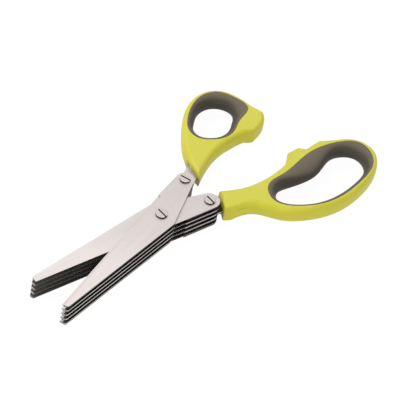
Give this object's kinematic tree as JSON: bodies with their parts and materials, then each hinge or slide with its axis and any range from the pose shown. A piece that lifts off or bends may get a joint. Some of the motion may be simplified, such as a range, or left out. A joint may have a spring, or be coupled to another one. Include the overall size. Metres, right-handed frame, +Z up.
{
  "type": "herb scissors",
  "caption": "Multi-blade herb scissors with stacked thin steel blades on one pivot, hard moulded handles and soft loop liners.",
  "frame": {"origin": "centre of the flat underside of the pivot's barrel nut, on the surface that the scissors lie on", "axes": "+Z up along the pivot axis, +X from the pivot towards the handles along the middle line of the closed scissors, +Y towards the thumb handle"},
  "size_m": [0.2017, 0.1002, 0.0172],
  "materials": {
    "blade_steel": "fine lengthwise satin on thin sheet steel, brighter ground bevel and edges",
    "fastener_steel": "turned and lightly polished, with a dark driver slot",
    "spacer_steel": "plain turned rings",
    "handle_plastic": "lime green hard moulded plastic, satin with a soft sheen",
    "liner_rubber": "grey-brown matt soft grip"
  },
  "bodies": {
    "finger_half": {"finger_blade_1": "blade_steel", "finger_blade_2": "blade_steel", "finger_blade_3": "blade_steel", "finger_blade_4": "blade_steel", "finger_blade_5": "blade_steel", "finger_handle": "handle_plastic", "finger_grip_liner": "liner_rubber", "pivot_barrel_nut": "fastener_steel", "pivot_screw": "fastener_steel", "pivot_washers": "spacer_steel", "finger_clamp_barrel_nut": "fastener_steel", "finger_clamp_screw": "fastener_steel", "finger_clamp_spacers": "spacer_steel"},
    "thumb_half": {"thumb_blade_1": "blade_steel", "thumb_blade_2": "blade_steel", "thumb_blade_3": "blade_steel", "thumb_blade_4": "blade_steel", "thumb_blade_5": "blade_steel", "thumb_handle": "handle_plastic", "thumb_grip_liner": "liner_rubber", "thumb_clamp_barrel_nut": "fastener_steel", "thumb_clamp_screw": "fastener_steel", "thumb_clamp_spacers": "spacer_steel"}
  },
  "joints": [
    {"name": "pivot", "type": "hinge", "parent": "finger_half", "child": "thumb_half", "pos_m": [0, 0, 0.0086], "axis": [0, 0, 1], "range_deg": [-14.8, 38]}
  ]
}
